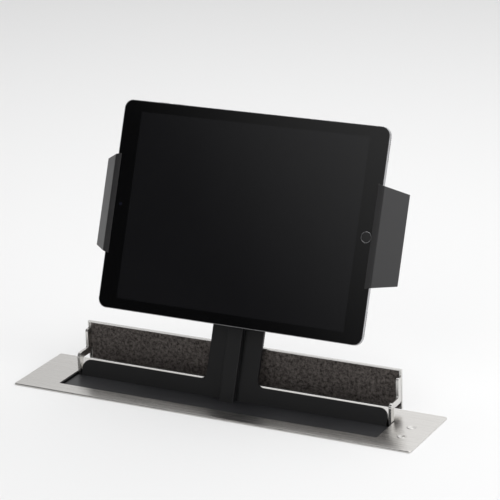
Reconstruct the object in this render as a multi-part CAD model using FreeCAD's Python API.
"""Motorised tablet stand that rises out of a desk top.

A steel face plate lies on the desk, centred on the origin with its underside at z = 0. Below it hangs a housing
that leans back like the tablet does. A carriage runs in it on two rods, driven by a belt, and carries the
inverted-T panel, the gripper holder and the docked tablet. A felt-lined lid on two gooseneck arms covers the
opening when the carriage is down, and stands open behind it here. +X is right, +Y is back, +Z is up; millimetres.
"""

import FreeCAD, Part
import math
import os

V = FreeCAD.Vector

# Tablet that the stand is made for, and how far its screen stands in front of the carrier's front face
TABLET_LENGTH = 305.7
TABLET_HEIGHT = 220.6
TABLET_T = 6.9
TABLET_CORNER_R = 9.5
TABLET_BACK_EDGE_R = 3.0
TABLET_STANDOFF = 30.5
TABLET_BOTTOM = 76.3
GLASS_T = 0.8
GLASS_RIM = 0.6
GLASS_PROUD = 0.2
HOME_BUTTON_R = 5.5
HOME_BUTTON_INSET = 10.85
HOME_BUTTON_DROP = 1.6
HOME_BUTTON_SUNK = 0.1
HOME_BUTTON_GAP = 0.1
TABLET_BACK_T = 1.2
TABLET_SIDE_T = 2.4
BATTERY_INSET_X = 27.85
BATTERY_INSET_Z = 12.3
BATTERY_T = 4.2

# Face plate and its opening, which lets the grippers down
OPENING_PAST_TABLET = 31.35
SIDE_MARGIN = 44.5
PLATE_WIDTH = 94.4
PLATE_T = 2.0
PLATE_CORNER_R = 2.5
PLATE_BEVEL = 0.8
OPENING_FRONT = -28.0
OPENING_BACK = 17.2
OPENING_CORNER_R = 1.0

# Lean of the guide, and where the carrier's front face meets the shelf
TILT = 21.3
PANEL_Y = 7.28
SHELF_TOP = -1.0
TABLET_SUNK = 21.1

# Carrier panel, rib and shelf
PANEL_T = 3.0
CROSSBAR_END_GAP = 5.7
CROSSBAR_HEIGHT = 17.6
CROSSBAR_CORNER_R = 10.0
COLUMN_WIDTH = 59.6
COLUMN_PAST_HOLDER = 5.4
COLUMN_FILLET_R = 7.0
COLUMN_TOP_R = 6.0
APRON_DEPTH = 50.0
RIB_WIDTH = 16.4
RIB_DEPTH = 6.9
RIB_FOOT = 20.0
RIB_EDGE_R = 0.6
SHELF_T = 2.0
SHELF_END_GAP = 1.8
SHELF_GAP = 0.7
SHELF_TAB_DEPTH = 14.0
SHELF_TAB_INSET = 20.0

# Gripper holder behind the tablet
HOLDER_INSET = 24.85
HOLDER_HEIGHT = 80.0
HOLDER_WALL = 2.0
HOLDER_SPLIT = 14.0
HOLDER_CORNER_R = 5.0
REST_GAP = 1.0
PAD_GAP = 0.3
REST_PAD = (24.0, 12.0)
REST_PAD_R = 3.0
REST_PAD_INSET = 28.0
REST_PAD_RISE = 28.0

# Grippers: folded sheet, bar and self-centring gear
GRIP_SHEET_T = 1.6
GRIP_LIP_OVER_TABLET = 4.65
GRIP_LIP_PAST_TABLET = 1.55
GRIP_PAST_TABLET = 21.9
GRIP_BACK = 12.0
GRIP_LIP_HALF = 53.0
GRIP_OUTER_HALF = 46.3
GRIP_FLANGE_HALF = 24.0
GRIP_FLANGE_GAP = 12.0
GRIP_FLANGE_R = 3.0
GRIP_PAD_HALF = 44.0
GRIP_PAD_LIP_GAP = 0.05
GRIP_PAD_BACK_INSET = 0.6
CONTACT_HALF = 6.0
CONTACT_DEPTH = 2.4
CONTACT_FROM_BACK = (4.6, 1.6)
BAR_T = 3.0
BAR_FAR_SIDE = 20.0
BAR_INNER_END = 14.0
BAR_OUTER_INSET = 8.0
BAR_CLEARANCE = 0.15
BAR_SLOT_GAP = 0.4
BAR_GUIDE_HALF = 4.0
BAR_GUIDE_RIM = 2.5
BAR_GUIDE_FOOT = 3.0
BAR_GUIDE_INSET = 10.0
INNER_GUIDE_X = -50.0
GEAR_MODULE = 1.0
PINION_TEETH = 16
PINION_T = 4.0
PINION_POST_R = 3.0
PINION_SHOULDER = (5.0, 4.6)
PRESSURE_ANGLE = 20.0
BACKLASH = 0.2
RUNNING_GAP = 0.05
RACK_TEETH_EACH_SIDE = 4
SPRING_R = 2.5
SPRING_COIL = 1.0
SPRING_WALL = 1.6
SPRING_VALLEY = 0.35
SPRING_DROP = 30.0
SPRING_INSET = 30.0
SPRING_INNER_X = -45.0
SPRING_TAB = 3.0

# Lid, its felt and its gooseneck arms
LID_GAP = 0.7
LID_END_GAP = 0.6
LID_T = 3.0
LID_SHEET_T = 1.2
LID_BEVEL = 1.2
FELT_RECESS = 0.3
FELT_ARM_GAP = 0.2
HINGE_Y = 29.3
HINGE_Z = -6.2
HINGE_PIN_R = 2.0
ARM_T = 3.0
ARM_LEG = 6.9
ARM_NECK_R = 4.5
ARM_OUTER_R = 5.0
ARM_INNER_R = 2.0
ARM_END_R = 3.0
ARM_HEEL = (13.0, 6.0)
ARM_JOG_BOTTOM = 15.5
ARM_TOP = 43.0
ARM_EDGE_GAP = 1.0
ARM_LID_INSET = 0.2
ARM_UPPER_LEG = 6.5
ARM_TAB = (13.0, 21.0)
ARM_TAB_T = 0.8
RIVET_R = 1.2
RIVET_INSET = 5.5
RIVET_DROPS = (4.0, 17.0)

# Buttons and their switches
BUTTON_INSET = 22.8
BUTTON_YS = (8.2, -16.2)
BUTTON_R = 4.5
BUTTON_GAP = 0.2
BUTTON_PROUD = 0.3
BUTTON_BEVEL = 0.3
BUTTON_FOOT = -0.6
BUTTON_TRAVEL = 0.8
BUTTON_DISH = (16.0, 0.45)
COLLAR_RIM = 1.1
COLLAR = (-1.6, -0.1)
STEM_R = 1.5
STEM_FOOT = -3.4
SWITCH_BOX_DEPTH = 14.0
SWITCH_BOX_HALF = 9.0
SWITCH_BOX_PAST = 10.0
SWITCH_HALF = 4.0
SWITCH_PLUNGER = (1.0, 1.0)
SWITCH_GAP = 0.1

# Housing
HOUSING_END_GAP = 3.8
WALL = 1.5
HOUSING_FRONT = -35.0
HOUSING_BACK = 29.5
HOUSING_BELOW_APRON = 34.0
FLANGE_WIDTH = 12.0
FLANGE_OVERLAP = 0.4
FRONT_FLANGE_INSET = 10.0
FRONT_SCREW_INSET = 34.2
BACK_FLANGE_HALF = 103.0
BACK_FLANGE_WIDTH = 6.0
BACK_SCREW_XS = (-95.0, -35.0, 35.0, 95.0)
INLET_X = -60.0
INLET_Y = -12.0
INLET_R = 5.5
INLET_LENGTH = 14.0
INLET_PROUD = 2.0
INLET_COLLAR_RIM = 2.0
INLET_NUT = (2.5, 2.5)
INLET_SOCKET_R = 3.0
INLET_SOCKET_DEPTH = 8.0
INLET_PIN_R = 1.0

# Desk clamps
DESK_T = 25.0
CLAMP_INSET = 20.7
CLAMP_Y = -18.0
CLAMP_HALF = 12.0
CLAMP_ARM_DROP = 50.0
CLAMP_ARM_T = 5.0
CLAMP_UPRIGHT = (2.5, 38.0)
CLAMP_PAD = (9.0, 3.0)
CLAMP_KNOB = (8.0, 8.0)
SPINDLE_R = 3.0
SPINDLE_BELOW = 22.0

# Guide rods and carriage blocks
ROD_X = 120.0
ROD_Y = 14.0
ROD_R = 5.0
ROD_TOP = 0.0
ROD_FOOT_GAP = 4.0
BUSH_WALL = 3.0
BLOCK_HALF = 14.0
BLOCK_BACK = 24.0
BLOCK_TOP = -10.0
BLOCK_CORNER_R = 4.0
BLOCK_SCREW_X = 11.0
BLOCK_SCREW_DROPS = (9.0, 33.0)
ROD_BRACKET_T = 8.0
ROD_BRACKET_HALF = 12.0
ROD_BRACKET_FRONT = 8.0
ROD_BRACKET_CORNER_R = 3.0

# Belt drive
PULLEY_R = 8.0
PULLEY_TEETH = 16
PULLEY_ROOT = 0.4
PULLEY_GROOVE_R = 0.8
PULLEY_FLANGE_R = 10.0
PULLEY_FLANGE_T = 1.0
BELT_WIDTH = 9.0
BELT_T = 1.2
BELT_SIDE_GAP = 0.5
IDLER_Z = -6.5
IDLER_EAR_GAP = 2.0
IDLER_EAR_T = 2.0
IDLER_EAR = (5.0, 8.0, 5.0)
AXLE_R = 2.0
AXLE_HEAD = (1.5, 1.5)
DRIVE_ABOVE_FLOOR = 16.5
MOTOR_R = 14.0
MOTOR_LENGTH = 62.0
MOTOR_GAP = 5.5
MOTOR_BEVEL = 0.8
MOTOR_GROOVE = (22.0, 1.2, 0.6)
MOTOR_BOSS = (4.5, 3.0)
MOTOR_LUG = (0.4, 6.0, 2.0)
MOTOR_LUG_Y = 7.0
MOTOR_BEARING_DEPTH = 12.0
MOTOR_PLATE_T = 2.0
MOTOR_PLATE_FRONT = 11.0
MOTOR_FOOT = 16.0
MOTOR_FOOT_T = 1.5
MOTOR_PLATE_OVER = (0.5, 1.0)
MOTOR_HOLE_GAP = 2.0
SHAFT_R = 2.5
SHAFT_PAST_BELT = 2.0
SHAFT_END_GAP = 0.5
JAW_HALF = 11.0
JAW_TOP = -20.0
JAW_BOTTOM = -45.0
JAW_GAP = 0.3
JAW_PLATE_T = 2.5
JAW_SCREW_X = 7.0
JAW_SCREW_INSET = 5.0

# Lid motor
LID_MOTOR_R = 5.4
LID_MOTOR_LENGTH = 38.0
LID_MOTOR_GAP = 1.5
LID_MOTOR_BEVEL = 0.5
LID_PIN_REACH = 10.0
LID_PIN_BORE = 9.0
LID_PIN_END_GAP = 0.2
SADDLE_INSET = 12.0
SADDLE_LENGTH = 12.0
SADDLE_REACH = 40.0
SADDLE_TOP = -0.5
PIVOT_BUSH_WALL = 1.5
PIVOT_COLLAR_RIM = 3.0
PIVOT_COLLAR_GAP = 0.4

# Control board: low and high x of each part, its front, and its low and high above the housing's floor
BOARD_X = (-98.0, -22.0)
BOARD_BACK_GAP = 3.9
BOARD_T = 1.6
BOARD_RISE = (18.0, 92.0)
BOARD_FOOT_R = 2.5
BOARD_FOOT_INSET = 5.0
BOARD_CHIPS = (((-90.0, -72.0), 14.0, (52.0, 76.0)), ((-60.0, -48.0), 21.5, (57.0, 69.0)),
               ((-40.0, -26.0), 17.0, (22.0, 36.0)), ((-90.0, -60.0), 18.0, (20.0, 30.0)))
BOARD_CANS = ((-58.0, 50.0), (-46.0, 50.0))
CAN_R = 4.0
CAN_HEIGHT = 11.0

# Screws: radius, and the head's sizes as shares of it
SCREW_R = 1.5
SCREW_HEAD_WIDTH = 1.9
SCREW_HEAD_HEIGHT = 1.2
SCREW_SOCKET = 0.8
SCREW_EDGE = 0.25
APRON_SCREW_GRIP = 2.4
RIB_SCREW_GRIP = 4.0
RIB_SCREW_ZS = (30.0, 75.0, 120.0)
HOLDER_SCREWS = (20.0, 26.0)

# Worked out from the values above
FAR = 900.0
TABLET_CENTRE = TABLET_BOTTOM + TABLET_HEIGHT / 2
TABLET_FRONT = -TABLET_STANDOFF
TABLET_BACK = TABLET_FRONT + TABLET_T
HOME_BUTTON_X = TABLET_LENGTH / 2 - HOME_BUTTON_INSET
OPENING_LENGTH = TABLET_LENGTH + 2 * OPENING_PAST_TABLET
OPENING_HALF = OPENING_LENGTH / 2
PLATE_LENGTH = OPENING_LENGTH + 2 * SIDE_MARGIN
BUTTON_X = PLATE_LENGTH / 2 - BUTTON_INSET
CLAMP_X = PLATE_LENGTH / 2 - CLAMP_INSET
CROSSBAR_HALF = OPENING_HALF - CROSSBAR_END_GAP
SHELF_HALF = OPENING_HALF - SHELF_END_GAP
SHELF_FRONT = OPENING_FRONT + SHELF_GAP
COLUMN_HALF = COLUMN_WIDTH / 2
COLUMN_HEIGHT = TABLET_CENTRE + HOLDER_HEIGHT / 2 + COLUMN_PAST_HOLDER
LIFT_TRAVEL = TABLET_BOTTOM + TABLET_HEIGHT + TABLET_SUNK
HOUSING_DEPTH = LIFT_TRAVEL + APRON_DEPTH + HOUSING_BELOW_APRON
HOUSING_HALF = OPENING_HALF + HOUSING_END_GAP
HOUSING_INNER = HOUSING_HALF - WALL
FRONT_SCREW_X = OPENING_HALF - FRONT_SCREW_INSET
ROD_BOTTOM = -HOUSING_DEPTH + WALL + ROD_FOOT_GAP
BUSH_R = ROD_R + BUSH_WALL
DRIVE_Z = -HOUSING_DEPTH + DRIVE_ABOVE_FLOOR
MOTOR_START = BELT_WIDTH / 2 + MOTOR_GAP
HOLDER_HALF = TABLET_LENGTH / 2 - HOLDER_INSET
HOLDER_FRONT = TABLET_BACK + REST_GAP
REST_PAD_X = HOLDER_HALF - REST_PAD_INSET
LIP_BACK = TABLET_FRONT - PAD_GAP
LIP_FRONT = LIP_BACK - GRIP_SHEET_T
GRIP_LIP_INNER = TABLET_LENGTH / 2 - GRIP_LIP_OVER_TABLET
GRIP_LIP_OUTER = TABLET_LENGTH / 2 + GRIP_LIP_PAST_TABLET
GRIP_OUTER = TABLET_LENGTH / 2 + GRIP_PAST_TABLET
GRIP_FLANGE_INNER = HOLDER_HALF + GRIP_FLANGE_GAP
PITCH_R = GEAR_MODULE * PINION_TEETH / 2
ROOT_DEPTH = 1.25 * GEAR_MODULE
BAR_NEAR_SIDE = PITCH_R + ROOT_DEPTH
BAR_FRONT = -GRIP_BACK + GRIP_SHEET_T
GUIDE_XS = (-HOLDER_HALF + BAR_GUIDE_INSET, INNER_GUIDE_X)
SPRING_X = (-HOLDER_HALF + SPRING_INSET, SPRING_INNER_X)
LID_HALF = OPENING_HALF - LID_END_GAP
LID_FACE_Y = HINGE_Y + PLATE_T - HINGE_Z
LID_INNER_Y = LID_FACE_Y - LID_T
LID_FLOOR_Y = LID_FACE_Y - LID_SHEET_T
LID_BOTTOM = HINGE_Z + HINGE_Y - (OPENING_BACK - LID_GAP)
LID_TOP = HINGE_Z + HINGE_Y - (OPENING_FRONT + LID_GAP)
TRAY_BOTTOM = LID_BOTTOM + LID_BEVEL + LID_SHEET_T
ARM_OUTER_X = LID_HALF - ARM_LID_INSET
ARM_INNER_X = ARM_OUTER_X - ARM_T
TAB_FRONT = LID_FLOOR_Y - ARM_TAB_T


# ---- shapes used throughout ----

def block(x, y, z):
    """A box between the low and high values of x, y and z."""
    return Part.makeBox(x[1] - x[0], y[1] - y[0], z[1] - z[0], V(x[0], y[0], z[0]))


def rod(radius, start, end):
    """A cylinder from one point to another."""
    axis = V(*end) - V(*start)
    return Part.makeCylinder(radius, axis.Length, V(*start), axis)


def tube(outer, inner, start, end):
    """A cylinder with a bore right through it."""
    return rod(outer, start, end).cut(rod(inner, start, end))


def prism(points, direction):
    """The closed outline through the points, pushed along a direction."""
    outline = Part.makePolygon([V(*p) for p in points] + [V(*points[0])])
    return Part.Face(outline).extrude(V(*direction))


def outline_xz(points, y):
    """A plate between two values of y with an outline given in x and z."""
    return prism([(x, y[0], z) for x, z in points], (0, y[1] - y[0], 0))


def outline_yz(points, x):
    """A plate between two values of x with an outline given in y and z."""
    return prism([(x[0], y, z) for y, z in points], (x[1] - x[0], 0, 0))


def outline_xy(points, z):
    """A plate between two values of z with an outline given in x and y."""
    return prism([(x, y, z[0]) for x, y in points], (0, 0, z[1] - z[0]))


def round_edges(shape, radius, along, near=None):
    """Rounds the straight edges that run along a direction, or only those near the given points."""
    chosen = []
    for edge in shape.Edges:
        if len(edge.Vertexes) != 2 or edge.Curve.TypeId != "Part::GeomLine":
            continue
        line = edge.Vertexes[1].Point - edge.Vertexes[0].Point
        if line.cross(V(*along)).Length > 1e-6 * line.Length:
            continue
        if near is None or min(edge.distToShape(Part.Vertex(V(*p)))[0] for p in near) < 0.01:
            chosen.append(edge)
    return shape.makeFillet(radius, chosen)


def on_slope(shape):
    """Leans a shape that was drawn upright, with the carrier's front face at y = 0, onto the guide."""
    leaning = shape.copy()
    leaning.rotate(V(0, 0, 0), V(1, 0, 0), -TILT)
    leaning.translate(V(0, PANEL_Y, SHELF_TOP))
    return leaning


def mirrored(shape):
    """The same shape on the other side of the middle plane."""
    return shape.mirror(V(0, 0, 0), V(1, 0, 0))


def opposite(shape):
    """The same shape turned half a turn about the pinion's axis."""
    turned = shape.copy()
    turned.rotate(V(0, 0, TABLET_CENTRE), V(0, 1, 0), 180)
    return turned


def cut_all(shape, tools):
    """The shape with every tool cut out of it."""
    for tool in tools:
        shape = shape.cut(tool)
    return shape


def hex_recess(point, direction, radius):
    """The hexagonal socket in a screw's head."""
    outline = Part.makePolygon([V(radius * math.cos(a), radius * math.sin(a), 0)
                                for a in [math.pi / 3 * i for i in range(6)] + [0.0]])
    socket = Part.Face(outline).extrude(V(0, 0, radius * SCREW_SOCKET))
    socket.Placement = FreeCAD.Placement(point, FreeCAD.Rotation(V(0, 0, 1), direction))
    return socket


def screw(head, direction, length, radius=SCREW_R):
    """A cap screw: its head's underside is at a point and its shank runs along the direction."""
    point, along = V(*head), V(*direction)
    shank = Part.makeCylinder(radius, length, point, along)
    height = radius * SCREW_HEAD_HEIGHT
    cap = Part.makeCylinder(radius * SCREW_HEAD_WIDTH, height, point, along * -1)
    crown = point - along * height
    rim = [e for e in cap.Edges if (e.CenterOfMass - crown).Length < 1e-6]
    cap = cap.makeFillet(radius * SCREW_EDGE, rim)
    return cap.fuse(shank).removeSplitter().cut(hex_recess(crown, along, radius * SCREW_SOCKET))


def flat_screw(head, direction, length, radius=SCREW_R):
    """A countersunk screw, flush with the surface at a point."""
    point, along = V(*head), V(*direction)
    cone = Part.makeCone(radius * SCREW_HEAD_WIDTH, radius, radius * (SCREW_HEAD_WIDTH - 1), point, along)
    shank = Part.makeCylinder(radius, length, point, along)
    return cone.fuse(shank).removeSplitter().cut(hex_recess(point, along, radius * SCREW_SOCKET))


def save(node, *solids):
    """Writes one node, which is one solid or a group of alike ones."""
    shape = solids[0] if len(solids) == 1 else Part.makeCompound(list(solids))
    shape.exportStep("parts/" + node + ".step")


# ---- face plate and housing ----

def face_plate():
    """Flat steel plate with bevelled edges, the long opening and two button holes."""
    half_x, half_y = PLATE_LENGTH / 2, PLATE_WIDTH / 2
    plate = block((-half_x, half_x), (-half_y, half_y), (0, PLATE_T))
    plate = round_edges(plate, PLATE_CORNER_R, (0, 0, 1))
    rim = [e for e in plate.Edges if all(abs(v.Z - PLATE_T) < 1e-6 for v in e.Vertexes)]
    plate = plate.makeChamfer(PLATE_BEVEL, rim)
    opening = block((-OPENING_HALF, OPENING_HALF), (OPENING_FRONT, OPENING_BACK), (-1, PLATE_T + 1))
    opening = round_edges(opening, OPENING_CORNER_R, (0, 0, 1))
    holes = [rod(BUTTON_R + BUTTON_GAP, (BUTTON_X, y, -1), (BUTTON_X, y, PLATE_T + 1)) for y in BUTTON_YS]
    return cut_all(plate, [opening] + holes)


def below_plate(shape):
    """What is left of a shape under the face plate."""
    return shape.cut(block((-FAR, FAR), (-FAR, FAR), (0, FAR)))


def sloped_sheet(x, y):
    """A sheet of the leaning housing, trimmed where it meets the face plate."""
    return below_plate(on_slope(block(x, y, (-HOUSING_DEPTH, FAR))))


def slope_y(y, z):
    """Where a plane that leans with the guide, at a depth y behind the carrier's face, is at a height z."""
    along = (z - SHELF_TOP + y * math.sin(math.radians(TILT))) / math.cos(math.radians(TILT))
    return PANEL_Y + y * math.cos(math.radians(TILT)) + along * math.sin(math.radians(TILT))


def flange_screws():
    """Screws that hold the housing's flanges up against the face plate."""
    front_y = slope_y(HOUSING_FRONT - WALL, 0) - FLANGE_WIDTH / 2
    back_y = slope_y(HOUSING_BACK + WALL, 0) - BACK_FLANGE_WIDTH / 2
    rows = [(FRONT_SCREW_X * share, front_y) for share in (-1, -1 / 3, 1 / 3, 1)]
    rows += [(x, back_y) for x in BACK_SCREW_XS]
    return [screw((x, y, -WALL), (0, 0, 1), WALL) for x, y in rows]


def housing_front():
    """Leaning front wall, with a flange bent forward under the plate."""
    wall = sloped_sheet((-HOUSING_INNER, HOUSING_INNER), (HOUSING_FRONT - WALL, HOUSING_FRONT))
    outer = slope_y(HOUSING_FRONT - WALL, 0)
    half = OPENING_HALF - FRONT_FLANGE_INSET
    flange = block((-half, half), (outer - FLANGE_WIDTH, outer + FLANGE_OVERLAP), (-WALL, 0))
    return cut_all(wall.fuse(flange).removeSplitter(), flange_screws())


def housing_back():
    """Leaning back wall, with a flange bent forward under the plate's rear margin."""
    wall = sloped_sheet((-HOUSING_INNER, HOUSING_INNER), (HOUSING_BACK, HOUSING_BACK + WALL))
    inner = slope_y(HOUSING_BACK, 0)
    flange = block((-BACK_FLANGE_HALF, BACK_FLANGE_HALF), (inner - BACK_FLANGE_WIDTH, inner + FLANGE_OVERLAP),
                   (-WALL, 0))
    return cut_all(wall.fuse(flange).removeSplitter(), flange_screws())


def housing_side():
    """Right side wall, with the hole for the lid's pivot bush."""
    side = sloped_sheet((HOUSING_INNER, HOUSING_HALF), (HOUSING_FRONT - WALL, HOUSING_BACK + WALL))
    return side.cut(rod(HINGE_PIN_R + PIVOT_BUSH_WALL, (0, HINGE_Y, HINGE_Z), (FAR, HINGE_Y, HINGE_Z)))


def housing_bottom():
    """Bottom sheet with a hole for the power inlet."""
    bottom = on_slope(block((-HOUSING_INNER, HOUSING_INNER), (HOUSING_FRONT, HOUSING_BACK),
                            (-HOUSING_DEPTH, -HOUSING_DEPTH + WALL)))
    return bottom.cut(power_inlet_core())


def inlet_rod(radius, low, high):
    """A round part of the power inlet, between two heights from the housing's underside."""
    return on_slope(rod(radius, (INLET_X, INLET_Y, low - HOUSING_DEPTH), (INLET_X, INLET_Y, high - HOUSING_DEPTH)))


def power_inlet_core():
    """The threaded barrel of the power inlet."""
    return inlet_rod(INLET_R, -INLET_PROUD, INLET_LENGTH)


def power_inlet():
    """Barrel with an outer collar, an inner nut and the socket for a round plug."""
    collar = inlet_rod(INLET_R + INLET_COLLAR_RIM, -INLET_PROUD, 0)
    nut = inlet_rod(INLET_R + INLET_NUT[0], WALL, WALL + INLET_NUT[1])
    socket = inlet_rod(INLET_SOCKET_R, -INLET_PROUD, INLET_SOCKET_DEPTH)
    centre_pin = inlet_rod(INLET_PIN_R, 0, INLET_SOCKET_DEPTH)
    return power_inlet_core().fuse([collar, nut]).cut(socket).fuse(centre_pin)


def desk_clamp(side):
    """Angle bracket on the housing's side, and the screw with a pad that presses up under the desk."""
    y = (CLAMP_Y - CLAMP_HALF, CLAMP_Y + CLAMP_HALF)
    foot = -DESK_T - CLAMP_ARM_DROP

    def along_screw(radius, low, high):
        return rod(radius, (CLAMP_X, CLAMP_Y, low), (CLAMP_X, CLAMP_Y, high))

    upright = block((HOUSING_HALF, HOUSING_HALF + CLAMP_UPRIGHT[0]), y, (foot, foot + CLAMP_UPRIGHT[1]))
    arm = block((HOUSING_HALF, CLAMP_X + CLAMP_HALF), y, (foot, foot + CLAMP_ARM_T))
    bracket = upright.fuse(arm).removeSplitter().cut(along_screw(SPINDLE_R, foot - 1, foot + CLAMP_ARM_T + 1))
    pad = along_screw(CLAMP_PAD[0], -DESK_T - CLAMP_PAD[1], -DESK_T)
    spindle = along_screw(SPINDLE_R, foot - SPINDLE_BELOW, -DESK_T - CLAMP_PAD[1])
    knob = along_screw(CLAMP_KNOB[0], foot - SPINDLE_BELOW - CLAMP_KNOB[1], foot - SPINDLE_BELOW)
    spindle = spindle.fuse([knob, pad]).removeSplitter()
    return (bracket, spindle) if side > 0 else (mirrored(bracket), mirrored(spindle))


# ---- guide and belt drive ----

def rod_bracket(x, low, high):
    """Block on the back wall that holds one end of a guide rod."""
    front = ROD_Y - ROD_BRACKET_FRONT
    body = block((x - ROD_BRACKET_HALF, x + ROD_BRACKET_HALF), (front, HOUSING_BACK), (low, high))
    corners = [(x - ROD_BRACKET_HALF, front, low), (x + ROD_BRACKET_HALF, front, low)]
    body = round_edges(body, ROD_BRACKET_CORNER_R, (0, 0, 1), corners)
    return on_slope(body.cut(rod(ROD_R, (x, ROD_Y, low - 1), (x, ROD_Y, high + 1))))


def guide_rod(x):
    """Ground steel rod between its two brackets."""
    return on_slope(rod(ROD_R, (x, ROD_Y, ROD_BOTTOM), (x, ROD_Y, ROD_TOP)))


def pulley(z, bore):
    """Toothed belt pulley with a flange on each side, on an axis along x."""
    half = BELT_WIDTH / 2 + BELT_SIDE_GAP
    end = half + PULLEY_FLANGE_T
    drum = rod(PULLEY_R - PULLEY_ROOT, (-half, ROD_Y, z), (half, ROD_Y, z))
    for i in range(PULLEY_TEETH):
        angle = 2 * math.pi * i / PULLEY_TEETH
        y, up = ROD_Y + PULLEY_R * math.sin(angle), z + PULLEY_R * math.cos(angle)
        drum = drum.cut(rod(PULLEY_GROOVE_R, (-half, y, up), (half, y, up)))
    flanges = [rod(PULLEY_FLANGE_R, (side * half, ROD_Y, z), (side * end, ROD_Y, z)) for side in (-1, 1)]
    return on_slope(drum.fuse(flanges).cut(rod(bore, (-end - 1, ROD_Y, z), (end + 1, ROD_Y, z))))


def belt_loop(radius):
    """The outline that a belt of a given radius makes round both pulleys."""
    half = BELT_WIDTH / 2
    runs = block((-half, half), (ROD_Y - radius, ROD_Y + radius), (DRIVE_Z, IDLER_Z))
    ends = [rod(radius, (-half, ROD_Y, z), (half, ROD_Y, z)) for z in (DRIVE_Z, IDLER_Z)]
    return runs.fuse(ends)


def drive_belt():
    """Belt loop round both pulleys."""
    return on_slope(belt_loop(PULLEY_R + BELT_T).cut(belt_loop(PULLEY_R)).removeSplitter())


def idler_bracket():
    """U bracket on the back wall that carries the idler's axle."""
    inner = BELT_WIDTH / 2 + IDLER_EAR_GAP
    outer = inner + IDLER_EAR_T
    front, below, above = IDLER_EAR
    ears = block((-outer, outer), (ROD_Y - front, HOUSING_BACK), (IDLER_Z - below, IDLER_Z + above))
    gap = block((-inner, inner), (0, HOUSING_BACK - IDLER_EAR_T), (-FAR, FAR))
    return on_slope(ears.cut(gap).cut(rod(AXLE_R, (-FAR, ROD_Y, IDLER_Z), (FAR, ROD_Y, IDLER_Z))))


def idler_axle():
    """Pin with a shoulder head at one end, held in the bracket's ears."""
    end = BELT_WIDTH / 2 + IDLER_EAR_GAP + IDLER_EAR_T
    pin = rod(AXLE_R, (-end, ROD_Y, IDLER_Z), (end, ROD_Y, IDLER_Z))
    head = rod(AXLE_R + AXLE_HEAD[0], (end, ROD_Y, IDLER_Z), (end + AXLE_HEAD[1], ROD_Y, IDLER_Z))
    return on_slope(pin.fuse(head).removeSplitter())


def drive_motor():
    """Round gear motor lying along x, with a blind bearing for its shaft and a connector at the far end."""
    end = MOTOR_START + MOTOR_LENGTH

    def along_shaft(radius, start, stop):
        return rod(radius, (start, ROD_Y, DRIVE_Z), (stop, ROD_Y, DRIVE_Z))

    body = along_shaft(MOTOR_R, MOTOR_START, end)
    body = body.makeChamfer(MOTOR_BEVEL, [e for e in body.Edges if e.Curve.TypeId == "Part::GeomCircle"])
    offset, width, depth = MOTOR_GROOVE
    start, stop = MOTOR_START + offset, MOTOR_START + offset + width
    groove = along_shaft(MOTOR_R + 1, start, stop).cut(along_shaft(MOTOR_R - depth, start, stop))
    boss = along_shaft(MOTOR_BOSS[0], end, end + MOTOR_BOSS[1])
    half, reach, tall = MOTOR_LUG
    lugs = [block((end, end + reach), (y - half, y + half), (DRIVE_Z - tall, DRIVE_Z + tall))
            for y in (ROD_Y - MOTOR_LUG_Y, ROD_Y + MOTOR_LUG_Y)]
    bearing = along_shaft(SHAFT_R + RUNNING_GAP, MOTOR_START - 1, MOTOR_START + MOTOR_BEARING_DEPTH)
    return on_slope(body.cut(groove).fuse([boss] + lugs).cut(bearing))


def motor_bracket():
    """Angle plate between the motor's face and the back wall."""
    z = (DRIVE_Z - MOTOR_R + MOTOR_PLATE_OVER[0], DRIVE_Z + MOTOR_R + MOTOR_PLATE_OVER[1])
    front = MOTOR_START - MOTOR_PLATE_T
    face = block((front, MOTOR_START), (ROD_Y - MOTOR_PLATE_FRONT, HOUSING_BACK), z)
    foot = block((MOTOR_START, MOTOR_START + MOTOR_FOOT), (HOUSING_BACK - MOTOR_FOOT_T, HOUSING_BACK), z)
    hole = rod(SHAFT_R + MOTOR_HOLE_GAP, (front - 1, ROD_Y, DRIVE_Z), (MOTOR_START + 1, ROD_Y, DRIVE_Z))
    return on_slope(face.fuse(foot).removeSplitter().cut(hole))


def motor_shaft():
    """Output shaft from the motor's bearing through the drive pulley."""
    start = -BELT_WIDTH / 2 - SHAFT_PAST_BELT
    end = MOTOR_START + MOTOR_BEARING_DEPTH - SHAFT_END_GAP
    return on_slope(rod(SHAFT_R, (start, ROD_Y, DRIVE_Z), (end, ROD_Y, DRIVE_Z)))


# ---- carriage ----

def apron_screws():
    """Screws through the carrier's apron into the bearing blocks and the belt clamp."""
    spots = [(side * ROD_X + dx, BLOCK_TOP - drop) for side in (-1, 1) for dx in (-BLOCK_SCREW_X, BLOCK_SCREW_X)
             for drop in BLOCK_SCREW_DROPS]
    spots += [(x, z) for x in (-JAW_SCREW_X, JAW_SCREW_X)
              for z in (JAW_TOP - JAW_SCREW_INSET, JAW_BOTTOM + JAW_SCREW_INSET)]
    return [on_slope(screw((x, 0, z), (0, 1, 0), PANEL_T + APRON_SCREW_GRIP)) for x, z in spots]


def holder_screws():
    """Flush screws through the column's back into the gripper holder."""
    across, up = HOLDER_SCREWS
    spots = [(x, TABLET_CENTRE + dz) for x in (-across, across) for dz in (-up, up)]
    return [on_slope(flat_screw((x, PANEL_T, z), (0, -1, 0), PANEL_T + HOLDER_WALL)) for x, z in spots]


def rib_screws():
    """Flush screws through the column's back into the centre rib."""
    return [on_slope(flat_screw((0, PANEL_T, z), (0, -1, 0), PANEL_T + RIB_SCREW_GRIP)) for z in RIB_SCREW_ZS]


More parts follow.
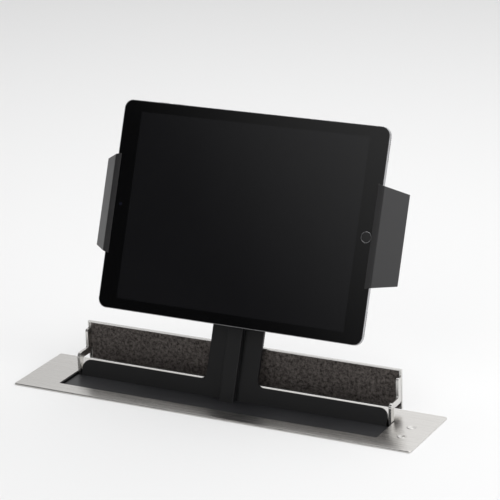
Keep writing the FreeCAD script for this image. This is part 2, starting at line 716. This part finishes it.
def carrier_panel():
    """Inverted T of thick sheet: crossbar, column and the apron that hides below the shelf."""
    points = [(-CROSSBAR_HALF, -APRON_DEPTH), (-CROSSBAR_HALF, CROSSBAR_HEIGHT), (-COLUMN_HALF, CROSSBAR_HEIGHT),
              (-COLUMN_HALF, COLUMN_HEIGHT), (COLUMN_HALF, COLUMN_HEIGHT), (COLUMN_HALF, CROSSBAR_HEIGHT),
              (CROSSBAR_HALF, CROSSBAR_HEIGHT), (CROSSBAR_HALF, -APRON_DEPTH)]
    panel = outline_xz(points, (0, PANEL_T))
    for x, z, radius in ((CROSSBAR_HALF, CROSSBAR_HEIGHT, CROSSBAR_CORNER_R),
                         (COLUMN_HALF, CROSSBAR_HEIGHT, COLUMN_FILLET_R),
                         (COLUMN_HALF, COLUMN_HEIGHT, COLUMN_TOP_R)):
        panel = round_edges(panel, radius, (0, 1, 0), [(-x, 0, z), (x, 0, z)])
    return cut_all(on_slope(panel), apron_screws() + holder_screws() + rib_screws())


def above_shelf(shape):
    """What is left of a shape above the shelf's top."""
    return shape.cut(block((-FAR, FAR), (-FAR, FAR), (-FAR, SHELF_TOP)))


def centre_rib():
    """Square bar that stiffens the column, standing on the shelf."""
    top = TABLET_CENTRE - HOLDER_HEIGHT / 2
    half = RIB_WIDTH / 2
    rib = block((-half, half), (-RIB_DEPTH, 0), (-RIB_FOOT, top))
    rib = round_edges(rib, RIB_EDGE_R, (0, 0, 1), [(-half, -RIB_DEPTH, 0), (half, -RIB_DEPTH, 0)])
    return cut_all(above_shelf(on_slope(rib)), rib_screws())


def shelf():
    """Bent sheet that fills the opening in front of the carrier, with a tab down the apron."""
    flat = block((-SHELF_HALF, SHELF_HALF), (SHELF_FRONT, PANEL_Y + PANEL_T), (SHELF_TOP - SHELF_T, SHELF_TOP))
    flat = flat.cut(on_slope(block((-FAR, FAR), (0, FAR), (-FAR, FAR))))
    half = CROSSBAR_HALF - SHELF_TAB_INSET
    tab = on_slope(block((-half, half), (-SHELF_T, 0), (-SHELF_TAB_DEPTH, SHELF_T)))
    tab = tab.cut(block((-FAR, FAR), (-FAR, FAR), (SHELF_TOP, FAR)))
    return flat.fuse(tab).removeSplitter()


def bearing_block(x):
    """Block behind the apron that slides on one rod."""
    body = block((x - BLOCK_HALF, x + BLOCK_HALF), (PANEL_T, BLOCK_BACK), (-APRON_DEPTH, BLOCK_TOP))
    corners = [(x - BLOCK_HALF, BLOCK_BACK, BLOCK_TOP), (x + BLOCK_HALF, BLOCK_BACK, BLOCK_TOP)]
    body = round_edges(body, BLOCK_CORNER_R, (0, 0, 1), corners)
    body = on_slope(body.cut(rod(BUSH_R, (x, ROD_Y, -FAR), (x, ROD_Y, 0))))
    return cut_all(body, apron_screws())


def linear_bush(x):
    """Plain bush pressed into a bearing block."""
    return on_slope(tube(BUSH_R, ROD_R + RUNNING_GAP, (x, ROD_Y, -APRON_DEPTH), (x, ROD_Y, BLOCK_TOP)))


def belt_clamp():
    """Two jaws that hold the belt's front run to the apron."""
    near = ROD_Y - PULLEY_R - BELT_T - JAW_GAP
    far = ROD_Y - PULLEY_R + JAW_GAP
    slot = block((-BELT_WIDTH / 2 - JAW_GAP, BELT_WIDTH / 2 + JAW_GAP), (near, far), (-FAR, 0))
    inner = block((-JAW_HALF, JAW_HALF), (PANEL_T, far), (JAW_BOTTOM, JAW_TOP)).cut(slot)
    outer = block((-JAW_HALF, JAW_HALF), (far, far + JAW_PLATE_T), (JAW_BOTTOM, JAW_TOP))
    return cut_all(on_slope(inner), apron_screws()), on_slope(outer)


# ---- gripper holder ----

def holder_shell(y, cavity):
    """One half of the gripper holder: a tray with rounded corners and a cavity cut into it."""
    z = (TABLET_CENTRE - HOLDER_HEIGHT / 2, TABLET_CENTRE + HOLDER_HEIGHT / 2)
    outer = round_edges(block((-HOLDER_HALF, HOLDER_HALF), y, z), HOLDER_CORNER_R, (0, 1, 0))
    half = HOLDER_HALF - HOLDER_WALL
    inner = block((-half, half), cavity, (z[0] + HOLDER_WALL, z[1] - HOLDER_WALL))
    return outer.cut(inner)


def bar_slot(gap):
    """The space that the left bar needs, with a gap all round it."""
    return block((-FAR, BAR_INNER_END + FAR), (BAR_FRONT - gap, BAR_FRONT + BAR_T + gap),
                 (TABLET_CENTRE - BAR_FAR_SIDE - gap, TABLET_CENTRE - BAR_NEAR_SIDE + gap))


def holder_base():
    """Rear half of the holder, with a slot for each bar and the pinion's post."""
    base = holder_shell((-HOLDER_SPLIT, 0), (-HOLDER_SPLIT - 1, -HOLDER_WALL))
    slot = bar_slot(BAR_SLOT_GAP).common(block((-FAR, 0), (-FAR, FAR), (-FAR, FAR)))
    post = rod(PINION_POST_R, (0, -HOLDER_WALL, TABLET_CENTRE), (0, -HOLDER_SPLIT, TABLET_CENTRE))
    radius, height = PINION_SHOULDER
    shoulder = rod(radius, (0, -HOLDER_WALL, TABLET_CENTRE), (0, -HOLDER_WALL - height, TABLET_CENTRE))
    anchor = spring_anchor()
    base = base.cut(slot).cut(opposite(slot)).fuse([post, shoulder, anchor, opposite(anchor)])
    return cut_all(on_slope(base), holder_screws())


def holder_cover():
    """Front half of the holder, which faces the tablet's back."""
    shell = holder_shell((HOLDER_FRONT, -HOLDER_SPLIT), (HOLDER_FRONT + HOLDER_WALL, -HOLDER_SPLIT + 1))
    return on_slope(shell)


def rest_pad(x, z):
    """Rubber pad on the holder that the tablet's back leans on."""
    half_x, half_z = REST_PAD[0] / 2, REST_PAD[1] / 2
    pad = block((x - half_x, x + half_x), (TABLET_BACK + PAD_GAP, HOLDER_FRONT), (z - half_z, z + half_z))
    return on_slope(round_edges(pad, REST_PAD_R, (0, 1, 0)))


def bar_guide(x):
    """Plastic guide on the holder's back wall that the left bar slides through."""
    z = (TABLET_CENTRE - BAR_FAR_SIDE - BAR_GUIDE_FOOT, TABLET_CENTRE - BAR_NEAR_SIDE + BAR_GUIDE_RIM)
    body = block((x - BAR_GUIDE_HALF, x + BAR_GUIDE_HALF), (BAR_FRONT - BAR_GUIDE_RIM, -HOLDER_WALL), z)
    return body.cut(bar_slot(BAR_CLEARANCE))


def spring_anchor():
    """Post on the holder's back wall at the spring's inner end."""
    z = (TABLET_CENTRE - SPRING_DROP - SPRING_TAB, TABLET_CENTRE - SPRING_DROP + SPRING_TAB)
    return block((SPRING_X[1], SPRING_X[1] + SPRING_TAB), (-HOLDER_SPLIT + 1, -HOLDER_WALL), z)


def grip_spring():
    """Close-coiled spring between the bar's tab and the holder's post."""
    y, z = BAR_FRONT + BAR_T / 2, TABLET_CENTRE - SPRING_DROP
    x = SPRING_X[0] + PAD_GAP
    inner, valley = SPRING_R - SPRING_WALL, SPRING_R - SPRING_VALLEY
    coils = int((SPRING_X[1] - x) / SPRING_COIL)
    edges = []
    for i in range(coils):
        start, middle, end = (V(x + (i + share) * SPRING_COIL, y, z) for share in (0, 0.5, 1))
        low, high = V(0, 0, valley), V(0, 0, SPRING_R)
        edges.append(Part.Arc(start + low, middle + high, end + low).toShape())
    last = x + coils * SPRING_COIL
    corners = [V(last, y, z + valley), V(last, y, z + inner), V(x, y, z + inner), V(x, y, z + valley)]
    edges += [Part.makeLine(a, b) for a, b in zip(corners, corners[1:])]
    return Part.Face(Part.Wire(edges)).revolve(V(x, y, z), V(1, 0, 0), 360)


# ---- grippers ----

def rack_teeth(centre_z):
    """Teeth that stand up from the left bar, with a gap at x = 0 for the pinion's lowest tooth."""
    slope = math.tan(math.radians(PRESSURE_ANGLE))
    pitch = math.pi * GEAR_MODULE
    line = centre_z - PITCH_R
    teeth = []
    half = pitch / 4 - BACKLASH / 2
    foot, tip = half + ROOT_DEPTH * slope, half - GEAR_MODULE * slope
    low, high = line - ROOT_DEPTH, line + GEAR_MODULE
    for i in range(-RACK_TEETH_EACH_SIDE, RACK_TEETH_EACH_SIDE):
        x = (i + 0.5) * pitch
        teeth.append(outline_xz([(x - foot, low), (x - tip, high), (x + tip, high), (x + foot, low)],
                                (BAR_FRONT, BAR_FRONT + BAR_T)))
    return teeth


def grip_bar():
    """Left bar: it carries the gripper, its rack meets the pinion from below, and its tab pulls the spring."""
    z = (TABLET_CENTRE - BAR_FAR_SIDE, TABLET_CENTRE - BAR_NEAR_SIDE)
    y = (BAR_FRONT, BAR_FRONT + BAR_T)
    bar = block((-GRIP_OUTER + BAR_OUTER_INSET, BAR_INNER_END), y, z)
    tab = block((SPRING_X[0] - SPRING_TAB, SPRING_X[0]), y, (TABLET_CENTRE - SPRING_DROP - SPRING_TAB, z[0]))
    return bar.fuse([tab] + rack_teeth(TABLET_CENTRE)).removeSplitter()


def grip_sheet():
    """Right gripper: lip over the tablet's front, slanted face, and a flange folded back inward."""
    lip_and_face = [(GRIP_LIP_INNER, LIP_FRONT), (GRIP_LIP_OUTER, LIP_FRONT), (GRIP_OUTER, -GRIP_BACK),
                    (GRIP_OUTER, BAR_FRONT), (slant_x(BAR_FRONT - GRIP_SHEET_T), -GRIP_BACK),
                    (slant_x(LIP_BACK), LIP_BACK), (GRIP_LIP_INNER, LIP_BACK)]
    face = outline_xy(lip_and_face, (TABLET_CENTRE - GRIP_LIP_HALF, TABLET_CENTRE + GRIP_LIP_HALF))
    taper = [(GRIP_LIP_INNER, GRIP_LIP_HALF), (GRIP_OUTER, GRIP_OUTER_HALF)]
    outline = [(x, TABLET_CENTRE + h) for x, h in taper] + [(x, TABLET_CENTRE - h) for x, h in reversed(taper)]
    face = face.common(outline_xz(outline, (LIP_FRONT - 1, 0)))
    z = (TABLET_CENTRE - GRIP_FLANGE_HALF, TABLET_CENTRE + GRIP_FLANGE_HALF)
    flange = block((GRIP_FLANGE_INNER, GRIP_OUTER), (-GRIP_BACK, BAR_FRONT), z)
    flange = round_edges(flange, GRIP_FLANGE_R, (0, 1, 0), [(GRIP_FLANGE_INNER, -GRIP_BACK, up) for up in z])
    return face.fuse(flange).removeSplitter()


def slant_x(y):
    """Where the slanted face's inner side is, at a depth y."""
    lean = math.atan2(-GRIP_BACK - LIP_FRONT, GRIP_OUTER - GRIP_LIP_OUTER)
    return GRIP_LIP_OUTER - GRIP_SHEET_T * math.tan(lean / 2) + (y - LIP_BACK) / math.tan(lean)


def grip_pad():
    """Rubber wedge inside the right gripper that bears on the tablet's edge."""
    edge = TABLET_LENGTH / 2 + PAD_GAP
    front, back = LIP_BACK + GRIP_PAD_LIP_GAP, TABLET_BACK - GRIP_PAD_BACK_INSET
    outline = [(edge, front), (slant_x(front), front), (slant_x(back), back), (edge, back)]
    return outline_xy(outline, (TABLET_CENTRE - GRIP_PAD_HALF, TABLET_CENTRE + GRIP_PAD_HALF))


def charge_contact():
    """Block of spring contacts let into the right pad."""
    x = TABLET_LENGTH / 2 + PAD_GAP
    front, back = CONTACT_FROM_BACK
    return block((x, x + CONTACT_DEPTH), (TABLET_BACK - front, TABLET_BACK - back),
                 (TABLET_CENTRE - CONTACT_HALF, TABLET_CENTRE + CONTACT_HALF))


def pinion_tooth_angle(radius, base):
    """Half of a tooth's width, as an angle, at a radius on or outside the base circle."""
    roll = math.acos(min(1.0, base / radius))
    start = math.radians(PRESSURE_ANGLE)
    half = math.pi / (2 * PINION_TEETH) - BACKLASH / (4 * PITCH_R)
    return half + (math.tan(start) - start) - (math.tan(roll) - roll)


def grip_pinion():
    """Involute pinion that makes both bars move together."""
    base = PITCH_R * math.cos(math.radians(PRESSURE_ANGLE))
    root, tip = PITCH_R - ROOT_DEPTH, PITCH_R + GEAR_MODULE
    radii = [root] + [base + (tip - base) * k / 4 for k in range(5)]
    points = []
    for i in range(PINION_TEETH):
        centre = 2 * math.pi * i / PINION_TEETH
        flank = [(r, pinion_tooth_angle(max(r, base), base)) for r in radii]
        for r, half in flank:
            points.append((r * math.cos(centre - half), TABLET_CENTRE + r * math.sin(centre - half)))
        for r, half in reversed(flank):
            points.append((r * math.cos(centre + half), TABLET_CENTRE + r * math.sin(centre + half)))
    middle = BAR_FRONT + BAR_T / 2
    gear = outline_xz(points, (middle - PINION_T / 2, middle + PINION_T / 2))
    bore = rod(PINION_POST_R + RUNNING_GAP, (0, -FAR, TABLET_CENTRE), (0, FAR, TABLET_CENTRE))
    return on_slope(gear.cut(bore))


# ---- tablet ----

def tablet_outline(inset, y):
    """Rounded rectangle the size of the tablet, less an inset, between two depths."""
    half_x, half_z = TABLET_LENGTH / 2 - inset, TABLET_HEIGHT / 2 - inset
    slab = block((-half_x, half_x), y, (TABLET_CENTRE - half_z, TABLET_CENTRE + half_z))
    return round_edges(slab, TABLET_CORNER_R - inset, (0, 1, 0))


def tablet_body():
    """Hollow metal shell with rounded back edges and a recess for the glass."""
    shell = tablet_outline(0, (TABLET_FRONT + GLASS_PROUD, TABLET_BACK))
    back = [e for e in shell.Edges if all(abs(v.Y - TABLET_BACK) < 1e-6 for v in e.Vertexes)]
    shell = shell.makeFillet(TABLET_BACK_EDGE_R, back)
    recess = tablet_outline(GLASS_RIM, (TABLET_FRONT - 1, TABLET_FRONT + GLASS_T))
    cavity = tablet_outline(TABLET_SIDE_T, (TABLET_FRONT, TABLET_BACK - TABLET_BACK_T))
    return on_slope(shell.cut(recess).cut(cavity))


def tablet_battery():
    """Battery and circuit stack inside the tablet, glued to its back."""
    back = TABLET_BACK - TABLET_BACK_T
    half_x, half_z = TABLET_LENGTH / 2 - BATTERY_INSET_X, TABLET_HEIGHT / 2 - BATTERY_INSET_Z
    return on_slope(block((-half_x, half_x), (back - BATTERY_T, back),
                          (TABLET_CENTRE - half_z, TABLET_CENTRE + half_z)))


def home_button_disc(radius, y):
    """A round disc at the home button's place."""
    z = TABLET_CENTRE - HOME_BUTTON_DROP
    return rod(radius, (HOME_BUTTON_X, y[0], z), (HOME_BUTTON_X, y[1], z))


def tablet_glass():
    """Front glass with a hole for the home button."""
    glass = tablet_outline(GLASS_RIM, (TABLET_FRONT, TABLET_FRONT + GLASS_T))
    return on_slope(glass.cut(home_button_disc(HOME_BUTTON_R + HOME_BUTTON_GAP, (-FAR, 0))))


def tablet_home_button():
    """Round button set just below the glass."""
    return on_slope(home_button_disc(HOME_BUTTON_R, (TABLET_FRONT + HOME_BUTTON_SUNK, TABLET_FRONT + GLASS_T)))


# ---- lid ----

def lid_rivets():
    """Flush rivets, two to an arm's tab, which end level with the lid's outer face."""
    spots = [(side * (ARM_INNER_X - RIVET_INSET), ARM_TOP - drop) for side in (-1, 1) for drop in RIVET_DROPS]
    return [rod(RIVET_R, (x, TAB_FRONT, z), (x, LID_FACE_Y, z)) for x, z in spots]


def lid_shell():
    """Shallow steel tray; its bottom edge is bevelled to swing clear of the opening's edge."""
    tray = outline_yz([(LID_INNER_Y, LID_BOTTOM + LID_BEVEL), (LID_FACE_Y, LID_BOTTOM), (LID_FACE_Y, LID_TOP),
                       (LID_INNER_Y, LID_TOP)], (-LID_HALF, LID_HALF))
    half = LID_HALF - LID_SHEET_T
    cavity = block((-half, half), (LID_INNER_Y - 1, LID_FLOOR_Y), (TRAY_BOTTOM, LID_TOP - LID_SHEET_T))
    return cut_all(tray.cut(cavity), lid_rivets())


def arm_tab():
    """The thin end of the right arm, which reaches into the tray and lies under the felt."""
    length, height = ARM_TAB
    z = (ARM_TOP - height, ARM_TOP)
    outer = LID_HALF - LID_SHEET_T
    step = block((ARM_INNER_X, outer), (LID_INNER_Y, LID_FLOOR_Y), z)
    return step.fuse(block((ARM_INNER_X - length, outer), (TAB_FRONT, LID_FLOOR_Y), z)).removeSplitter()


def lid_felt():
    """Felt glued into the tray between the arms, hollowed at the back where it covers their tabs."""
    half = ARM_INNER_X - FELT_ARM_GAP
    felt = block((-half, half), (LID_INNER_Y + FELT_RECESS, LID_FLOOR_Y), (TRAY_BOTTOM, LID_TOP - LID_SHEET_T))
    return cut_all(felt, [arm_tab(), mirrored(arm_tab())])


def lid_arm():
    """Right gooseneck arm, cut from plate: pivot, neck under the plate, step over it, and a tab in the lid.

    The neck's heel is cut back so that it clears the housing's back wall when the lid is shut.
    """
    front = OPENING_BACK - ARM_EDGE_GAP - ARM_LEG
    neck_back = OPENING_BACK - ARM_EDGE_GAP
    low, high = HINGE_Z - ARM_NECK_R, HINGE_Z + ARM_NECK_R
    upper_front = LID_INNER_Y - ARM_UPPER_LEG
    jog_top = ARM_JOG_BOTTOM + ARM_LEG
    points = [(HINGE_Y, low), (HINGE_Y, high), (neck_back, high), (neck_back, ARM_JOG_BOTTOM),
              (LID_INNER_Y, ARM_JOG_BOTTOM), (LID_INNER_Y, ARM_TOP), (upper_front, ARM_TOP),
              (upper_front, jog_top), (front, jog_top), (front, low + ARM_HEEL[1]), (front + ARM_HEEL[0], low)]
    arm = outline_yz(points, (ARM_INNER_X, ARM_OUTER_X))
    x = ARM_INNER_X
    arm = round_edges(arm, ARM_OUTER_R, (1, 0, 0), [(x, front, jog_top), (x, front + ARM_HEEL[0], low)])
    arm = round_edges(arm, ARM_INNER_R, (1, 0, 0), [(x, neck_back, ARM_JOG_BOTTOM), (x, upper_front, jog_top),
                                                    (x, neck_back, high)])
    arm = round_edges(arm, ARM_END_R, (1, 0, 0), [(x, front, low + ARM_HEEL[1]), (x, upper_front, ARM_TOP),
                                                  (x, LID_INNER_Y, ARM_JOG_BOTTOM)])
    boss = rod(ARM_NECK_R, (ARM_INNER_X, HINGE_Y, HINGE_Z), (ARM_OUTER_X, HINGE_Y, HINGE_Z))
    arm = arm.fuse([boss, arm_tab()]).removeSplitter()
    bore = rod(HINGE_PIN_R, (ARM_INNER_X - 1, HINGE_Y, HINGE_Z), (ARM_OUTER_X + 1, HINGE_Y, HINGE_Z))
    return cut_all(arm.cut(bore), lid_rivets())


def lid_pin(side):
    """Pivot pin pressed into an arm; the right one reaches into the lid motor as its output shaft."""
    inner = ARM_INNER_X if side < 0 else ARM_INNER_X - LID_PIN_REACH
    outer = HOUSING_HALF - LID_PIN_END_GAP
    return rod(HINGE_PIN_R, (side * inner, HINGE_Y, HINGE_Z), (side * outer, HINGE_Y, HINGE_Z))


def pivot_bush(side):
    """Flanged bush in the housing's side wall."""
    bore = HINGE_PIN_R + RUNNING_GAP
    wall, outer = (side * HOUSING_INNER, HINGE_Y, HINGE_Z), (side * HOUSING_HALF, HINGE_Y, HINGE_Z)
    body = tube(HINGE_PIN_R + PIVOT_BUSH_WALL, bore, wall, outer)
    start = (side * (ARM_OUTER_X + PIVOT_COLLAR_GAP), HINGE_Y, HINGE_Z)
    collar = tube(HINGE_PIN_R + PIVOT_COLLAR_RIM, bore, start, wall)
    return body.fuse(collar).removeSplitter()


def lid_motor():
    """Slim gear motor beside the right arm, on the lid's axis."""
    end = ARM_INNER_X - LID_MOTOR_GAP
    body = rod(LID_MOTOR_R, (end - LID_MOTOR_LENGTH, HINGE_Y, HINGE_Z), (end, HINGE_Y, HINGE_Z))
    body = body.makeChamfer(LID_MOTOR_BEVEL, [e for e in body.Edges if e.Curve.TypeId == "Part::GeomCircle"])
    bore = rod(HINGE_PIN_R + RUNNING_GAP, (end - LID_PIN_BORE, HINGE_Y, HINGE_Z), (end + 1, HINGE_Y, HINGE_Z))
    return body.cut(bore)


def lid_motor_saddle():
    """Saddle between the lid motor and the back wall."""
    end = ARM_INNER_X - SADDLE_INSET
    saddle = block((end - SADDLE_LENGTH, end), (HINGE_Y + 1, HINGE_Y + SADDLE_REACH),
                   (HINGE_Z - LID_MOTOR_R, SADDLE_TOP))
    saddle = saddle.cut(on_slope(block((-FAR, FAR), (HOUSING_BACK, FAR), (-FAR, FAR))))
    return saddle.cut(rod(LID_MOTOR_R, (0, HINGE_Y, HINGE_Z), (FAR, HINGE_Y, HINGE_Z)))


# ---- buttons and electronics ----

def push_button(y):
    """Dished metal cap with a collar that catches under the plate, and a stem."""
    top = PLATE_T + BUTTON_PROUD
    cap = rod(BUTTON_R, (BUTTON_X, y, BUTTON_FOOT), (BUTTON_X, y, top))
    rim = [e for e in cap.Edges if e.Curve.TypeId == "Part::GeomCircle" and e.Curve.Center.z > 0]
    cap = cap.makeChamfer(BUTTON_BEVEL, rim)
    radius, depth = BUTTON_DISH
    dish = Part.makeSphere(radius, V(BUTTON_X, y, top + radius - depth))
    collar = rod(BUTTON_R + COLLAR_RIM, (BUTTON_X, y, COLLAR[0]), (BUTTON_X, y, COLLAR[1]))
    stem = rod(STEM_R, (BUTTON_X, y, STEM_FOOT), (BUTTON_X, y, COLLAR[0]))
    return cap.cut(dish).fuse([collar, stem]).removeSplitter()


def switch_box():
    """Open-topped box under the plate, round both switches."""
    x = (BUTTON_X - SWITCH_BOX_HALF, BUTTON_X + SWITCH_BOX_HALF)
    y = (BUTTON_YS[1] - SWITCH_BOX_PAST, BUTTON_YS[0] + SWITCH_BOX_PAST)
    box = block(x, y, (-SWITCH_BOX_DEPTH, 0))
    return box.cut(block((x[0] + WALL, x[1] - WALL), (y[0] + WALL, y[1] - WALL), (-SWITCH_BOX_DEPTH + WALL, 1)))


def micro_switch(y):
    """Switch body and its plunger, just below a button's stem."""
    radius, height = SWITCH_PLUNGER
    top = STEM_FOOT - BUTTON_TRAVEL - SWITCH_GAP
    body = block((BUTTON_X - SWITCH_HALF, BUTTON_X + SWITCH_HALF), (y - SWITCH_HALF, y + SWITCH_HALF),
                 (-SWITCH_BOX_DEPTH + WALL, top - height))
    return body.fuse(rod(radius, (BUTTON_X, y, top - height), (BUTTON_X, y, top)))


def control_board():
    """Circuit board on standoffs at the foot of the back wall, with its parts."""
    back = HOUSING_BACK - BOARD_BACK_GAP
    front = back - BOARD_T
    low, high = (rise - HOUSING_DEPTH for rise in BOARD_RISE)
    board = on_slope(block(BOARD_X, (front, back), (low, high)))
    feet = [on_slope(rod(BOARD_FOOT_R, (x, back, z), (x, HOUSING_BACK, z)))
            for x in (BOARD_X[0] + BOARD_FOOT_INSET, BOARD_X[1] - BOARD_FOOT_INSET)
            for z in (low + BOARD_FOOT_INSET, high - BOARD_FOOT_INSET)]
    chips = [on_slope(block(x, (y, front), tuple(rise - HOUSING_DEPTH for rise in z))) for x, y, z in BOARD_CHIPS]
    cans = [on_slope(rod(CAN_R, (x, front, z - HOUSING_DEPTH), (x, front - CAN_HEIGHT, z - HOUSING_DEPTH)))
            for x, z in BOARD_CANS]
    return [board] + feet + chips + cans


def grip_group(shape):
    """Places a right-hand gripper piece and its mirror image: left one first."""
    return on_slope(mirrored(shape)), on_slope(shape)


def main():
    os.makedirs("parts", exist_ok=True)
    sides = (-1, 1)

    save("face_plate", face_plate())
    save("housing_front", housing_front())
    save("housing_back", housing_back())
    save("housing_side_left", mirrored(housing_side()))
    save("housing_side_right", housing_side())
    save("housing_bottom", housing_bottom())
    save("housing_screws", *flange_screws())
    save("power_inlet", power_inlet())
    clamps = [desk_clamp(side) for side in sides]
    save("desk_clamp_brackets", *[bracket for bracket, spindle in clamps])
    save("desk_clamp_screws", *[spindle for bracket, spindle in clamps])

    save("guide_rods", *[guide_rod(side * ROD_X) for side in sides])
    save("rod_brackets_top", *[rod_bracket(side * ROD_X, ROD_TOP - ROD_BRACKET_T, ROD_TOP) for side in sides])
    save("rod_brackets_bottom",
         *[rod_bracket(side * ROD_X, ROD_BOTTOM, ROD_BOTTOM + ROD_BRACKET_T) for side in sides])
    save("drive_belt", drive_belt())
    save("drive_pulley", pulley(DRIVE_Z, SHAFT_R))
    save("motor_shaft", motor_shaft())
    save("drive_motor", drive_motor())
    save("motor_bracket", motor_bracket())
    save("idler_pulley", pulley(IDLER_Z, AXLE_R + RUNNING_GAP))
    save("idler_bracket", idler_bracket())
    save("idler_axle", idler_axle())

    save("carrier_panel", carrier_panel())
    save("centre_rib", centre_rib())
    save("shelf", shelf())
    save("bearing_block_left", bearing_block(-ROD_X))
    save("bearing_block_right", bearing_block(ROD_X))
    save("linear_bushes", *[linear_bush(side * ROD_X) for side in sides])
    save("belt_clamp", *belt_clamp())
    save("carriage_screws", *(apron_screws() + holder_screws() + rib_screws()))

    save("holder_base", holder_base())
    save("holder_cover", holder_cover())
    save("rest_pads", *[rest_pad(x, TABLET_CENTRE + dz) for x in (-REST_PAD_X, REST_PAD_X)
                        for dz in (-REST_PAD_RISE, REST_PAD_RISE)])
    guides = [bar_guide(x) for x in GUIDE_XS]
    save("bar_guides", *[on_slope(g) for g in guides + [opposite(g) for g in guides]])
    save("grip_springs", on_slope(grip_spring()), on_slope(opposite(grip_spring())))
    save("grip_pinion", grip_pinion())
    save("grip_bar_left", on_slope(grip_bar()))
    save("grip_bar_right", on_slope(opposite(grip_bar())))
    left, right = grip_group(grip_sheet())
    save("gripper_left", left)
    save("gripper_right", right)
    left, right = grip_group(grip_pad())
    save("grip_pad_left", left)
    save("grip_pad_right", right.cut(on_slope(charge_contact())))
    save("charge_contact", on_slope(charge_contact()))

    save("tablet_body", tablet_body())
    save("tablet_glass", tablet_glass())
    save("tablet_home_button", tablet_home_button())
    save("tablet_battery", tablet_battery())

    save("lid_shell", lid_shell())
    save("lid_felt", lid_felt())
    save("lid_arm_left", mirrored(lid_arm()))
    save("lid_arm_right", lid_arm())
    save("lid_rivets", *lid_rivets())
    save("lid_pins", *[lid_pin(side) for side in sides])
    save("pivot_bushes", *[pivot_bush(side) for side in sides])
    save("lid_motor", lid_motor())
    save("lid_motor_saddle", lid_motor_saddle())

    save("button_up", push_button(BUTTON_YS[0]))
    save("button_down", push_button(BUTTON_YS[1]))
    save("switch_box", switch_box())
    save("micro_switches", *[micro_switch(y) for y in BUTTON_YS])
    save("control_board", *control_board())


main()
